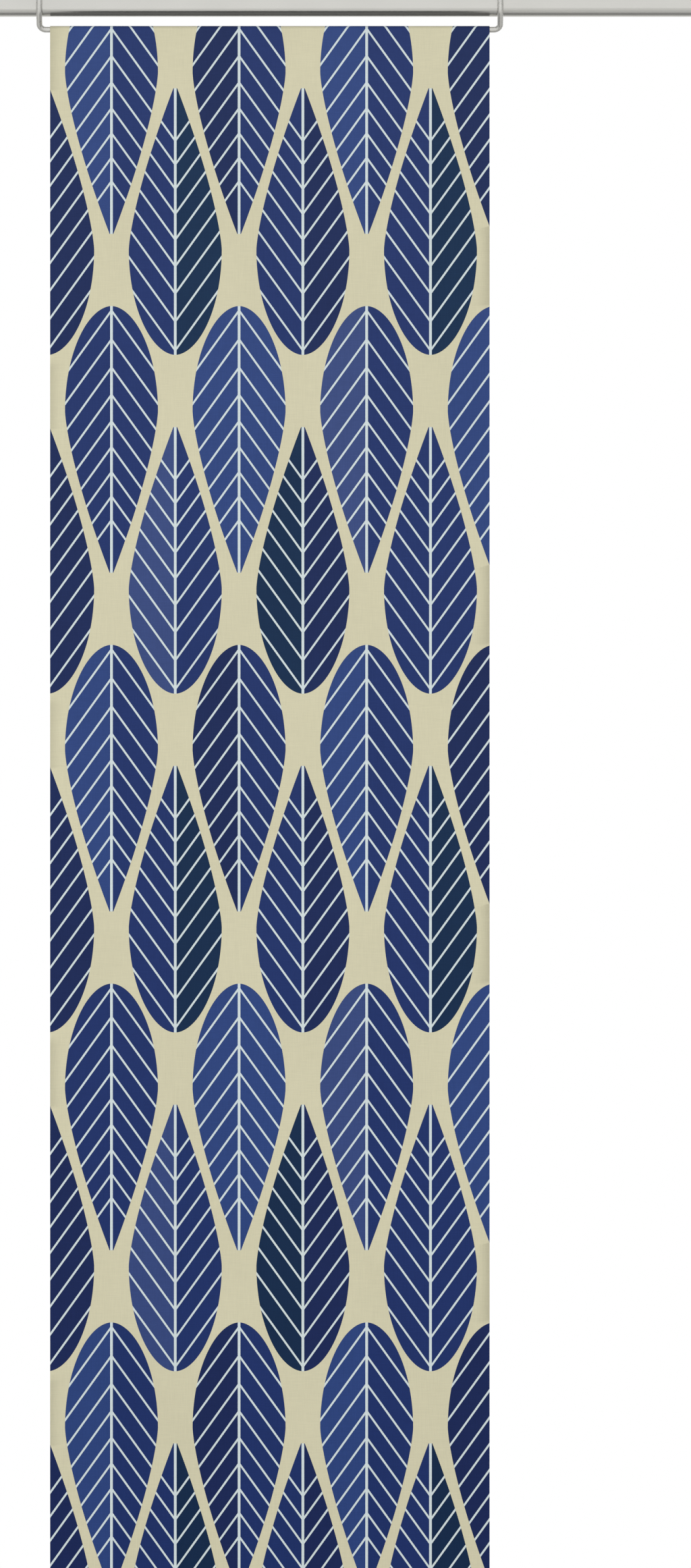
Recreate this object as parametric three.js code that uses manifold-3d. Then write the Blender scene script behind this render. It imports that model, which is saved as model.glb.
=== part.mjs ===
// A sliding panel curtain: a round wall rail, a bent rod hanger that hooks over it,
// and a flat printed cloth panel whose top fold hangs on the rod.
// Millimetres. X runs along the rail, Y points into the wall, Z points up.
// The origin is the middle of the left wall plate's back face.
import * as THREE from "three";
import { mergeVertices } from "three/addons/utils/BufferGeometryUtils.js";
import Module from "manifold-3d";

const wasm = await Module();
wasm.setup();

// Clearance between pieces that rest on or in each other, and how far a cutter runs past what it cuts
const REST_GAP = 0.3;
const CUT_PAST = 1;

// Rail
const RAIL_DIAMETER = 28;
const RAIL_WALL = 1.2;
const RAIL_LENGTH = 1200;
const RAIL_OVERHANG = 50;
const RAIL_FROM_WALL = 80;
const RAIL_SIDES = 48;
const CAP_RIM_DIAMETER = 30;
const CAP_RIM_LENGTH = 5;
const CAP_PLUG_LENGTH = 15;
const CAP_EDGE = 1;

// Wall brackets
const PLATE_WIDTH = 30;
const PLATE_HEIGHT = 76;
const PLATE_THICKNESS = 4;
const PLATE_HOLE_PITCH = 54;
const PLATE_HOLE_DIAMETER = 5;
const PLATE_SINK_DIAMETER = 9;
const PLATE_SINK_DEPTH = 2;
const STUD_DIAMETER = 10;
const STUD_LENGTH = 12;
const ARM_DIAMETER = 16;
const CRADLE_WALL = 3.5;
const CRADLE_WIDTH = 24;
const CRADLE_LIP = 8;
const GRUB_DIAMETER = 4;
const ARM_GRUB_LENGTH = 4;
const RAIL_GRUB_LENGTH = 6;
const GRUB_SOCKET_ACROSS = 2;
const GRUB_SOCKET_DEPTH = 2;

// Rod hanger
const ROD_DIAMETER = 8;
const ROD_SIDES = 12;
const ROD_BEND_RADIUS = 8.5;
const HOOK_END_ANGLE = 20;
const HOOK_STEPS = 14;
const BEND_STEPS = 6;
const PANEL_SIDE_GAP = 10.5;

// Cloth panel
const PANEL_WIDTH = 600;
const PANEL_HEIGHT = 2450;
const PANEL_FROM_LEFT_BRACKET = 400;
const PANEL_BELOW_RAIL = 12.5;
const CLOTH_THICKNESS = 0.6;
const ROD_POCKET_DEPTH = 25;
const HEM_STRIP = 12;
const BAR_THICKNESS = 3;
const BAR_HEIGHT = 20;
const BAR_END_GAP = 6;
const BAR_POCKET_TAPER = 12;

// Printed leaves: midribs at an even pitch, pointing up and down in turn
const INK_THICKNESS = 0.15;
const FIRST_MIDRIB = -3.3;
const MIDRIB_PITCH = 87.1;
const ROW_PITCH = 462.4;
const DOWN_LEAF_BLUNT_END = -79.8;
const UP_LEAF_BLUNT_END = 449.4;
const LEAF_LENGTH = 364;
const LEAF_HALF_WIDTH = 63.5;
const LEAF_TIP_HALF_WIDTH = 2.6;
const LEAF_WIDEST_AT = 143.5;
const LEAF_ROUNDNESS = 1.075;
const LEAF_TAPER_POWER = 1.385;
const MIDRIB_WIDTH = 4;
const INK_OVERLAP = 6;

// Worked out from the sizes above
const railRadius = RAIL_DIAMETER / 2;
const rodRadius = ROD_DIAMETER / 2;
const railMiddle = new THREE.Vector3(RAIL_LENGTH / 2 - RAIL_OVERHANG, -RAIL_FROM_WALL, 0);
const bracketPlaces = { left: 0, right: RAIL_LENGTH - 2 * RAIL_OVERHANG };
const foldInner = rodRadius + REST_GAP;
const foldOuter = foldInner + CLOTH_THICKNESS;
const panelTop = -railRadius - PANEL_BELOW_RAIL;
const rodDrop = -panelTop + foldOuter;
const panelLeft = PANEL_FROM_LEFT_BRACKET - PANEL_WIDTH / 2;
const bowHalfSpan = PANEL_WIDTH / 2 + PANEL_SIDE_GAP + rodRadius;

const materials = {
  railNickel: ["#cfcec8", 0.25, 0.9],
  capPlastic: ["#c9c8c2", 0.5, 0],
  bracketEnamel: ["#cfcec8", 0.4, 0.5],
  grubSteel: ["#6f7072", 0.4, 0.9],
  rodSteel: ["#b4b4b0", 0.32, 0.9],
  barSteel: ["#a5a6a6", 0.4, 0.9],
  cloth: ["#d0ccad", 0.9, 0],
  midBlue: ["#3f5590", 0.9, 0],
  royalBlue: ["#263a76", 0.9, 0],
  navyBlue: ["#242c5c", 0.9, 0],
};

function named(name, geometry, look) {
  const [color, roughness, metalness] = materials[look];
  const mesh = new THREE.Mesh(geometry, new THREE.MeshStandardMaterial({ color, roughness, metalness }));
  mesh.name = name;
  return mesh;
}

// Joins and cuts
function solid(geometry) {
  const bare = geometry.index ? geometry.toNonIndexed() : geometry.clone();
  bare.deleteAttribute("normal");
  bare.deleteAttribute("uv");
  const merged = mergeVertices(bare, 1e-4);
  return new wasm.Manifold(
    new wasm.Mesh({
      numProp: 3,
      vertProperties: new Float32Array(merged.attributes.position.array),
      triVerts: new Uint32Array(merged.index.array),
    }),
  );
}

function geometryOf(manifold) {
  const mesh = manifold.getMesh();
  const geometry = new THREE.BufferGeometry();
  geometry.setAttribute("position", new THREE.BufferAttribute(mesh.vertProperties, 3));
  geometry.setIndex(new THREE.BufferAttribute(mesh.triVerts, 1));
  geometry.computeVertexNormals();
  return geometry;
}

function cut(geometry, cutters) {
  return geometryOf(cutters.reduce((body, cutter) => body.subtract(solid(cutter)), solid(geometry)));
}

// Plane outlines and the directions they are extruded in
function arc(centreX, centreY, radius, fromDegrees, toDegrees, steps) {
  return Array.from({ length: steps + 1 }, (_, i) => {
    const a = THREE.MathUtils.degToRad(fromDegrees + ((toDegrees - fromDegrees) * i) / steps);
    return new THREE.Vector2(centreX + radius * Math.cos(a), centreY + radius * Math.sin(a));
  });
}

function extruded(outline, depth) {
  return new THREE.ExtrudeGeometry(new THREE.Shape(outline), { depth, bevelEnabled: false });
}

// The outline's axes become Y and Z, and the extrusion runs along X.
function alongX(geometry) {
  const basis = new THREE.Matrix4().makeBasis(
    new THREE.Vector3(0, 1, 0),
    new THREE.Vector3(0, 0, 1),
    new THREE.Vector3(1, 0, 0),
  );
  return geometry.applyMatrix4(basis);
}

// The outline's axes become X and Z, and the extrusion runs towards the room, along -Y.
function towardsRoom(geometry) {
  return geometry.rotateX(Math.PI / 2);
}

function turned(profile, sides) {
  const points = profile.map(([radius, along]) => new THREE.Vector2(radius, along));
  return new THREE.LatheGeometry(points, sides);
}

// Rail: a round tube with a plain plug cap in each end
function railTube() {
  const inner = railRadius - RAIL_WALL;
  const profile = [
    [inner, 0],
    [railRadius, 0],
    [railRadius, RAIL_LENGTH],
    [inner, RAIL_LENGTH],
    [inner, 0],
  ];
  const tube = named("rail_tube", turned(profile, RAIL_SIDES).rotateZ(-Math.PI / 2), "railNickel");
  tube.position.set(-RAIL_OVERHANG, -RAIL_FROM_WALL, 0);
  return tube;
}

function railCap(side) {
  const rim = CAP_RIM_DIAMETER / 2;
  const plug = railRadius - RAIL_WALL - REST_GAP;
  const profile = [
    [0, -CAP_PLUG_LENGTH],
    [plug - CAP_EDGE, -CAP_PLUG_LENGTH],
    [plug, -CAP_PLUG_LENGTH + CAP_EDGE],
    [plug, 0],
    [rim, 0],
    [rim, CAP_RIM_LENGTH - CAP_EDGE],
    [rim - CAP_EDGE, CAP_RIM_LENGTH],
    [0, CAP_RIM_LENGTH],
  ];
  const cap = named(side + "_rail_cap", turned(profile, RAIL_SIDES), "capPlastic");
  const sign = side === "left" ? 1 : -1;
  cap.rotation.z = (sign * Math.PI) / 2;
  cap.position.copy(railMiddle);
  cap.position.x -= sign * (RAIL_LENGTH / 2);
  return cap;
}

// Wall plate: a flat plate with round ends, two sunk screw holes and a stud for the arm
function wallPlate(side) {
  const endRadius = PLATE_WIDTH / 2;
  const straight = PLATE_HEIGHT / 2 - endRadius;
  const outline = [
    ...arc(0, straight, endRadius, 0, 180, 16),
    ...arc(0, -straight, endRadius, 180, 360, 16),
  ];
  const plate = towardsRoom(extruded(outline, PLATE_THICKNESS));
  const screwHoles = [-1, 1].map((sign) => {
    const hole = turned(
      [
        [0, -PLATE_THICKNESS - CUT_PAST],
        [PLATE_SINK_DIAMETER / 2, -PLATE_THICKNESS - CUT_PAST],
        [PLATE_SINK_DIAMETER / 2, -PLATE_THICKNESS],
        [PLATE_HOLE_DIAMETER / 2, -PLATE_THICKNESS + PLATE_SINK_DEPTH],
        [PLATE_HOLE_DIAMETER / 2, CUT_PAST],
        [0, CUT_PAST],
      ],
      20,
    );
    return hole.translate(0, 0, (sign * PLATE_HOLE_PITCH) / 2);
  });
  const stud = turned(
    [
      [0, -PLATE_THICKNESS - STUD_LENGTH],
      [STUD_DIAMETER / 2, -PLATE_THICKNESS - STUD_LENGTH],
      [STUD_DIAMETER / 2, -PLATE_THICKNESS / 2],
      [0, -PLATE_THICKNESS / 2],
    ],
    24,
  );
  const body = solid(cut(plate, screwHoles)).add(solid(stud));
  const mesh = named(side + "_wall_plate", geometryOf(body), "bracketEnamel");
  mesh.position.x = bracketPlaces[side];
  return mesh;
}

// Arm: a round arm that sleeves over the stud and ends in a cradle for the rail
const armGrubFromWall = PLATE_THICKNESS + STUD_LENGTH / 2;

function cradleOutline() {
  const inner = railRadius + REST_GAP;
  const outer = inner + CRADLE_WALL;
  return [
    new THREE.Vector2(-outer, CRADLE_LIP),
    ...arc(0, 0, outer, 180, 360, 24),
    new THREE.Vector2(outer, CRADLE_LIP),
    new THREE.Vector2(inner, CRADLE_LIP),
    ...arc(0, 0, inner, 360, 180, 24),
    new THREE.Vector2(-inner, CRADLE_LIP),
  ];
}

function bracketArm(side) {
  const armRadius = ARM_DIAMETER / 2;
  const boreRadius = STUD_DIAMETER / 2 + REST_GAP;
  const boreDepth = STUD_LENGTH + REST_GAP;
  const back = -PLATE_THICKNESS;
  const front = -RAIL_FROM_WALL + railRadius + REST_GAP + CRADLE_WALL / 2;
  const arm = turned(
    [
      [0, front],
      [armRadius, front],
      [armRadius, back],
      [boreRadius, back],
      [boreRadius, back - boreDepth],
      [0, back - boreDepth],
    ],
    32,
  );
  const cradle = alongX(extruded(cradleOutline(), CRADLE_WIDTH));
  cradle.translate(-CRADLE_WIDTH / 2, -RAIL_FROM_WALL, 0);
  const holeRadius = GRUB_DIAMETER / 2 + REST_GAP;
  const holeDepth = RAIL_DIAMETER;
  const grubHole = new THREE.CylinderGeometry(holeRadius, holeRadius, holeDepth, 20);
  grubHole.rotateX(Math.PI / 2).translate(0, 0, -holeDepth / 2);
  const armHole = grubHole.clone().translate(0, -armGrubFromWall, 0);
  const railHole = grubHole.clone().translate(0, -RAIL_FROM_WALL, 0);
  const body = solid(arm).add(solid(cradle)).subtract(solid(armHole)).subtract(solid(railHole));
  const mesh = named(side + "_arm", geometryOf(body), "bracketEnamel");
  mesh.position.x = bracketPlaces[side];
  return mesh;
}

// Grub screw with a hexagon socket, pointing up
function grubScrew(name, side, fromWall, tipHeight, length) {
  const radius = GRUB_DIAMETER / 2;
  const socketRadius = GRUB_SOCKET_ACROSS / Math.sqrt(3);
  const body = new THREE.CylinderGeometry(radius, radius, length, 20);
  const socket = new THREE.CylinderGeometry(socketRadius, socketRadius, 2 * GRUB_SOCKET_DEPTH, 6);
  body.rotateX(Math.PI / 2);
  socket.rotateX(Math.PI / 2).translate(0, 0, -length / 2);
  const mesh = named(name, cut(body, [socket]), "grubSteel");
  mesh.position.set(bracketPlaces[side], -fromWall, tipHeight - length / 2);
  return mesh;
}

function bracket(side) {
  const group = new THREE.Group();
  const studTip = -STUD_DIAMETER / 2 - REST_GAP;
  const railTip = -railRadius - REST_GAP;
  group.add(
    wallPlate(side),
    bracketArm(side),
    grubScrew(side + "_arm_screw", side, armGrubFromWall, studTip, ARM_GRUB_LENGTH),
    grubScrew(side + "_rail_screw", side, RAIL_FROM_WALL, railTip, RAIL_GRUB_LENGTH),
  );
  return group;
}

// Part of a circle in space: first and second are the unit directions at 0 and 90 degrees.
class SpaceArc extends THREE.Curve {
  constructor(centre, first, second, radius, fromDegrees, toDegrees) {
    super();
    Object.assign(this, { centre, first, second, radius, fromDegrees, toDegrees });
  }
  getPoint(t, target = new THREE.Vector3()) {
    const a = THREE.MathUtils.degToRad(THREE.MathUtils.lerp(this.fromDegrees, this.toDegrees, t));
    return target
      .copy(this.centre)
      .addScaledVector(this.first, this.radius * Math.cos(a))
      .addScaledVector(this.second, this.radius * Math.sin(a));
  }
}

// A route whose steps are shared out by hand: one on a straight, many on a bend.
class SteppedRoute extends THREE.Curve {
  constructor(spans) {
    super();
    this.spans = spans;
    this.steps = spans.reduce((sum, span) => sum + span.steps, 0);
  }
  at(u) {
    const last = this.spans.at(-1);
    let step = u * this.steps;
    for (const span of this.spans) {
      if (step <= span.steps || span === last) return [span.curve, Math.min(step / span.steps, 1)];
      step -= span.steps;
    }
  }
  getPointAt(u, target = new THREE.Vector3()) {
    const [curve, t] = this.at(u);
    return curve.getPoint(t, target);
  }
  getTangentAt(u, target = new THREE.Vector3()) {
    const [curve, t] = this.at(u);
    return curve.getTangent(t, target);
  }
}

// Hanger: one rod, straight through the cloth's fold, bent up at both ends and hooked over the rail.
// The legs lean forward so that the fold hangs plumb below the rail's middle.
function hangerRoute() {
  const hookRadius = railRadius + REST_GAP + rodRadius;
  const lean = Math.asin(hookRadius / rodDrop);
  const legDown = new THREE.Vector3(0, Math.sin(lean), -Math.cos(lean));
  const alongRail = new THREE.Vector3(1, 0, 0);
  const back = new THREE.Vector3(0, 1, 0);
  const up = new THREE.Vector3(0, 0, 1);
  const leftTop = new THREE.Vector3(PANEL_FROM_LEFT_BRACKET - bowHalfSpan, -RAIL_FROM_WALL, 0);
  const corner = leftTop.clone().addScaledVector(up, -rodDrop);
  const tangentAngle = 180 + THREE.MathUtils.radToDeg(lean);
  const hook = new SpaceArc(leftTop, back, up, hookRadius, HOOK_END_ANGLE, tangentAngle);
  const bendFrom = corner.clone().addScaledVector(legDown, -ROD_BEND_RADIUS);
  const bendTo = corner.clone().addScaledVector(alongRail, ROD_BEND_RADIUS);
  const bendMiddle = bendFrom.clone().addScaledVector(alongRail, ROD_BEND_RADIUS);
  const outward = alongRail.clone().negate();
  const bend = new SpaceArc(bendMiddle, outward, legDown, ROD_BEND_RADIUS, 0, 90);
  const leg = new THREE.LineCurve3(hook.getPoint(1), bendFrom);
  const mirror = (p) => new THREE.Vector3(2 * PANEL_FROM_LEFT_BRACKET - p.x, p.y, p.z);
  const rightHook = new SpaceArc(mirror(leftTop), back, up, hookRadius, tangentAngle, HOOK_END_ANGLE);
  const rightBend = new SpaceArc(mirror(bendMiddle), alongRail, legDown, ROD_BEND_RADIUS, 90, 0);
  return new SteppedRoute([
    { curve: hook, steps: HOOK_STEPS },
    { curve: leg, steps: 1 },
    { curve: bend, steps: BEND_STEPS },
    { curve: new THREE.LineCurve3(bendTo, mirror(bendTo)), steps: 1 },
    { curve: rightBend, steps: BEND_STEPS },
    { curve: new THREE.LineCurve3(mirror(bendFrom), rightHook.getPoint(0)), steps: 1 },
    { curve: rightHook, steps: HOOK_STEPS },
  ]);
}

function hangerBow() {
  const route = hangerRoute();
  const section = new THREE.Shape(arc(0, 0, rodRadius, 0, 360, ROD_SIDES).slice(1));
  const rod = new THREE.ExtrudeGeometry(section, { steps: route.steps, extrudePath: route });
  return named("hanger_bow", rod, "rodSteel");
}

// Cloth: one sheet seen from its edge, folded back round the rod at the top and round the bar below.
// Y and Z of the outline are measured from the rod's axis.
const sheetBack = -foldInner;
const flapFront = sheetBack + CLOTH_THICKNESS;
const clothBottom = foldOuter - PANEL_HEIGHT;
const barFoldInner = BAR_THICKNESS / 2 + REST_GAP;
const barFoldOuter = barFoldInner + CLOTH_THICKNESS;
const barMiddleY = sheetBack + barFoldInner;
const barFoldZ = clothBottom + barFoldOuter;
const barPocketTop = barFoldZ + BAR_HEIGHT - BAR_THICKNESS / 2;

// The flap behind the rod leans in so that its inside meets the sheet at the pocket's depth.
const flapLean = 2 * Math.atan(foldInner / ROD_POCKET_DEPTH);
const flapLeanDegrees = THREE.MathUtils.radToDeg(flapLean);
const rodSeam = -(foldOuter - flapFront * Math.cos(flapLean)) / Math.sin(flapLean);
const barSeam = barPocketTop + BAR_POCKET_TAPER;

function clothOutline() {
  return [
    ...arc(0, 0, foldOuter, 180, -flapLeanDegrees, 24),
    new THREE.Vector2(flapFront, rodSeam),
    new THREE.Vector2(flapFront, rodSeam - HEM_STRIP),
    new THREE.Vector2(sheetBack, rodSeam - HEM_STRIP),
    new THREE.Vector2(sheetBack, barSeam + HEM_STRIP),
    new THREE.Vector2(flapFront, barSeam + HEM_STRIP),
    new THREE.Vector2(flapFront, barSeam),
    new THREE.Vector2(barMiddleY + barFoldOuter, barPocketTop),
    ...arc(barMiddleY, barFoldZ, barFoldOuter, 0, -180, 16),
  ];
}

function rodPocket() {
  return [
    ...arc(0, 0, foldInner, 180, -flapLeanDegrees, 24),
    new THREE.Vector2(sheetBack, -ROD_POCKET_DEPTH),
  ];
}

function barPocket() {
  return [
    ...arc(barMiddleY, barFoldZ, barFoldInner, 0, -180, 12),
    new THREE.Vector2(sheetBack, barSeam - CLOTH_THICKNESS),
    new THREE.Vector2(barMiddleY + barFoldInner, barPocketTop - CLOTH_THICKNESS),
  ];
}

function curtainCloth() {
  const sheet = alongX(extruded(clothOutline(), PANEL_WIDTH));
  const pockets = [rodPocket(), barPocket()].map((outline) =>
    alongX(extruded(outline, 2 * PANEL_WIDTH)).translate(-PANEL_WIDTH / 2, 0, 0),
  );
  const mesh = named("curtain_cloth", cut(sheet, pockets), "cloth");
  mesh.position.set(panelLeft, -RAIL_FROM_WALL, -rodDrop);
  return mesh;
}

// Weight bar: a flat bar with rounded edges, loose in the bottom fold
function weightBar() {
  const radius = BAR_THICKNESS / 2;
  const top = BAR_HEIGHT - BAR_THICKNESS;
  const outline = [...arc(0, top, radius, 0, 180, 10), ...arc(0, 0, radius, 180, 360, 10)];
  const bar = alongX(extruded(outline, PANEL_WIDTH - 2 * BAR_END_GAP));
  const mesh = named("weight_bar", bar, "barSteel");
  mesh.position.set(panelLeft + BAR_END_GAP, barMiddleY - RAIL_FROM_WALL, barFoldZ - rodDrop);
  return mesh;
}

// One half of a leaf. The first coordinate is across from the midrib, the second along it
// from the blunt end: half an oval up to the widest place, then a slightly bowed taper to a narrow tip.
function halfLeaf(inner, grow, roundSteps, taperSteps) {
  const points = [new THREE.Vector2(inner, -grow)];
  for (let i = 1; i <= roundSteps; i++) {
    const a = (i / roundSteps) * (Math.PI / 2);
    const across = LEAF_HALF_WIDTH * Math.sin(a) ** LEAF_ROUNDNESS;
    points.push(new THREE.Vector2(across + grow, LEAF_WIDEST_AT * (1 - Math.cos(a))));
  }
  for (let i = 1; i <= taperSteps; i++) {
    const u = i / taperSteps;
    const across = THREE.MathUtils.lerp(LEAF_HALF_WIDTH, LEAF_TIP_HALF_WIDTH, u ** LEAF_TAPER_POWER);
    points.push(new THREE.Vector2(across + grow, THREE.MathUtils.lerp(LEAF_WIDEST_AT, LEAF_LENGTH, u)));
  }
  points.push(new THREE.Vector2(inner, LEAF_LENGTH + grow));
  return points;
}

// Three blues, palest first
const INKS = [
  ["print_mid_blue", "midBlue"],
  ["print_royal_blue", "royalBlue"],
  ["print_navy_blue", "navyBlue"],
];
const [MID, ROYAL, NAVY] = [0, 1, 2];
const EVEN_ROW = [[ROYAL, NAVY], [MID, ROYAL], [ROYAL, NAVY], [NAVY, ROYAL]];

// The blues of a leaf's left and right half. Even rows repeat every four columns. In the rows between,
// every fourth leaf is middle blue, the next one is navy, and the rest are royal with a middle blue half
// in every third column.
function bluesOf(column, row) {
  const place = column % EVEN_ROW.length;
  if (row % 2 === 0) return EVEN_ROW[place];
  if (place === 3) return [MID, MID];
  if (place === 0) return [NAVY, NAVY];
  return column % 3 === 2 ? [MID, ROYAL] : [ROYAL, ROYAL];
}

// Every half leaf that reaches onto the panel
function halfLeaves() {
  const found = [];
  const columns = Math.ceil((PANEL_WIDTH + LEAF_HALF_WIDTH - FIRST_MIDRIB) / MIDRIB_PITCH);
  const rows = Math.ceil((PANEL_HEIGHT - DOWN_LEAF_BLUNT_END) / ROW_PITCH);
  for (let column = 0; column < columns; column++)
    for (let row = 0; row < rows; row++)
      for (const half of [0, 1]) {
        const pointsDown = column % 2 === 1;
        const bluntEnd = (pointsDown ? DOWN_LEAF_BLUNT_END : UP_LEAF_BLUNT_END) + row * ROW_PITCH;
        const midrib = FIRST_MIDRIB + column * MIDRIB_PITCH;
        found.push({ midrib, bluntEnd, pointsDown, half, blue: bluesOf(column, row)[half] });
      }
  return found.filter(({ midrib, half }) => {
    const reach = midrib + (half ? 1 : -1) * LEAF_HALF_WIDTH;
    return Math.min(midrib, reach) < PANEL_WIDTH && Math.max(midrib, reach) > 0;
  });
}

// A half leaf as a prism through the ink, in the panel's place
function leafCutter(leaf, outline) {
  const side = leaf.half ? 1 : -1;
  const along = leaf.pointsDown ? -1 : 1;
  const midrib = panelLeft + leaf.midrib;
  const bluntEnd = panelTop - leaf.bluntEnd;
  const points = outline.map((p) => new THREE.Vector2(midrib + side * p.x, bluntEnd + along * p.y));
  const depth = foldOuter + (INKS.length + 1) * INK_THICKNESS + CUT_PAST;
  return towardsRoom(extruded(points, depth)).translate(0, -RAIL_FROM_WALL, 0);
}

// One ink: a thin sheet on the cloth's flat front, open wherever another colour shows.
// Each sheet lies on the one before, so its openings show the sheets below.
function inkSheet(name, look, layer, openings) {
  const top = -rodDrop;
  const bottom = barFoldZ - rodDrop;
  const front = -RAIL_FROM_WALL - foldOuter;
  const sheet = new THREE.BoxGeometry(PANEL_WIDTH, INK_THICKNESS, top - bottom);
  sheet.translate(
    PANEL_FROM_LEFT_BRACKET,
    front - (layer + 0.5) * INK_THICKNESS,
    (top + bottom) / 2,
  );
  return named(name, openings.length ? cut(sheet, openings) : sheet, look);
}

function printedLeaves() {
  const leaves = halfLeaves();
  const hidden = halfLeaf(0, INK_OVERLAP, 3, 2);
  const shown = halfLeaf(MIDRIB_WIDTH / 2, 0, 6, 4);
  const group = new THREE.Group();
  INKS.forEach(([name, look], blue) => {
    const paler = leaves.filter((leaf) => leaf.blue < blue);
    const openings = paler.map((leaf) => leafCutter(leaf, hidden));
    group.add(inkSheet(name, look, blue, openings));
  });
  const windows = leaves.map((leaf) => leafCutter(leaf, shown));
  group.add(inkSheet("print_ground", "cloth", INKS.length, windows));
  return group;
}

const curtain = new THREE.Group();
curtain.add(
  railTube(),
  railCap("left"),
  railCap("right"),
  bracket("left"),
  bracket("right"),
  hangerBow(),
  curtainCloth(),
  weightBar(),
  printedLeaves(),
);

export default curtain;
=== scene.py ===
"""Sliding panel curtain: a printed cloth panel hung by its top fold on a bent rod, which hooks over a
round wall rail. Sizes are in millimetres until a mesh is made, and then in metres. X runs along the rail,
Y into the wall and Z up; the origin is the middle of the left wall plate's back face."""

import math

import bmesh
import bpy
import numpy as np
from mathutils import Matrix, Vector
from mathutils.geometry import delaunay_2d_cdt

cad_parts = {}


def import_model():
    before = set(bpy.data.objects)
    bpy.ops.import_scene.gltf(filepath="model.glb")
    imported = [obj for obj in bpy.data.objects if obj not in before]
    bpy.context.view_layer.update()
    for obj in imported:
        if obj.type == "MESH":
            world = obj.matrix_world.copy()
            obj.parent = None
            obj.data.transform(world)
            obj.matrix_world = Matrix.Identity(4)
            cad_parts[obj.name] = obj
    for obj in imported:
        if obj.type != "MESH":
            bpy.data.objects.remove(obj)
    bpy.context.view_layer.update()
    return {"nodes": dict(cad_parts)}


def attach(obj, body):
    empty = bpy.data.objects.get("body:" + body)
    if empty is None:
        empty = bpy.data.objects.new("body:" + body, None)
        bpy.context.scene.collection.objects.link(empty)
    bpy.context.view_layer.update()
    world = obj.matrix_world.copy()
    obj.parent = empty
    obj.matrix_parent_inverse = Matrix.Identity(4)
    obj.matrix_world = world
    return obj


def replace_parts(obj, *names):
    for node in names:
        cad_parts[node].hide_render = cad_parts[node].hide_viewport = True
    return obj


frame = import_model()
MM = 0.001

# Rail and its caps, as in the CAD frame
RAIL_RADIUS = 14.0
RAIL_WALL = 1.2
RAIL_FROM = -50.0
RAIL_TO = 1150.0
RAIL_Y = -80.0
CAP_RIM = 15.0
CAP_RIM_LENGTH = 5.0
CAP_PLUG_LENGTH = 15.0
REST_GAP = 0.3

# Faces and edges of the turned pieces
TURNED_SIDES = 96
SHARP_EDGE_ANGLE = 40
RAIL_EDGE = 0.3
RAIL_POINTS = 25
RAIL_POINTS_INSET = 2
CAP_RIM_ROUND = 1.6
CAP_SEAT = 0.1
CAP_SEAT_EDGE = 0.3
CAP_PLUG_CHAMFER = 1.0
DISH_INSIDE_RIM = 3.4
DISH_SLOPE = 0.6
DISH_DEPTH = 0.35

# Voxels of the remeshed castings, and the bevel of the small steel pieces
PLATE_VOXEL = 0.6
ARM_VOXEL = 0.7
STEEL_BEVEL = 0.25
STEEL_BEVEL_ANGLE = 35
SAME_PLACE_METRES = 1e-6
FLAT_ANGLE = 0.5

# Hanger. The hook ends on the wall side of the rail, HOOK_END degrees above level.
ROD_RADIUS = 4.0
ROD_SIDES = 36
ROD_BEND = 8.5
HOOK_END = 20.0
PANEL_MIDDLE = 400.0
BOW_HALF_SPAN = 314.5

# Cloth with its folds for the rod and the weight bar
CLOTH = 0.6
PANEL_TOP = -26.5
PANEL_LEFT = 100.0
PANEL_WIDTH = 600.0
PANEL_HEIGHT = 2450.0
ROD_POCKET = 25.0
HEM_STRIP = 12.0
HEM_GAP = 0.2
BAR_THICKNESS = 3.0
BAR_HEIGHT = 20.0
BAR_TAPER = 12.0
FOLD_IN = ROD_RADIUS + REST_GAP
FOLD_OUT = FOLD_IN + CLOTH
ROD_Z = PANEL_TOP - FOLD_OUT

# Waves of the hanging cloth as (length, share, start), with a slow drift of the narrow ones down the panel
BROAD_WAVE = (430, 0.62, 0.7)
NARROW_WAVE = (190, 0.38, 2.2)
WAVE_DRIFT = 700
WAVE_HEIGHT = 1.1
WAVE_FADE = 0.7
HELD_SHARE = 0.03
EDGE_CURL = 0.7
EDGE_CURL_REACH = 14

# Printed leaves: midribs at an even pitch, pointing up and down in turn
FIRST_MIDRIB = -3.3
MIDRIB_PITCH = 87.1
COLUMNS = 8
ROW_PITCH = 462.4
ROWS = range(-1, 6)
DOWN_BLUNT_END = -79.8
UP_BLUNT_END = 449.4
LEAF_LENGTH = 364.0
LEAF_HALF_WIDTH = 63.5
LEAF_WIDEST = 143.5
LEAF_TIP = 2.6
LEAF_ROUNDNESS = 1.075
LEAF_TAPER = 1.385

# Veins rise from the midrib at one slope, at a pitch that shrinks towards the tip
HALF_MIDRIB = 1.8
VEIN_WIDTH = 2.6
VEIN_SLOPE = 1.39
FIRST_VEIN = 6.1
VEIN_PITCH = 39.4
VEIN_SHRINK = 0.972
VEINS = 9
VEIN_RISE = VEIN_WIDTH / 2 * math.hypot(1, VEIN_SLOPE)
VEIN_STEPS = VEIN_PITCH * VEIN_SHRINK ** np.arange(VEINS - 1)
VEIN_STARTS = FIRST_VEIN + np.concatenate([[0], np.cumsum(VEIN_STEPS)])

# Mesh of the cloth and its print
ACROSS_LINES = 21
FRONT_ROWS = 112
ROD_FOLD_STEPS = 26
BAR_FOLD_STEPS = 14
LEAF_OVAL_POINTS = 34
LEAF_TAPER_POINTS = 30
LEAF_TAPER_CROWDING = 1.6
LEAF_FIRST_ANGLE = 0.02
VEIN_TRIES = 200
VEIN_PAST_OUTLINE = 0.4
FILM_LIFT = 0.05
WELD = 1e-4
NO_AREA = 1e-7
NO_LENGTH = 1e-9
NO_STEP = 1e-12

# Tones of the print. A half leaf takes one of the blues.
GROUND, VEIN, MID, GREY_MID, ROYAL, NAVY, GREEN_NAVY = range(7)


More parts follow.
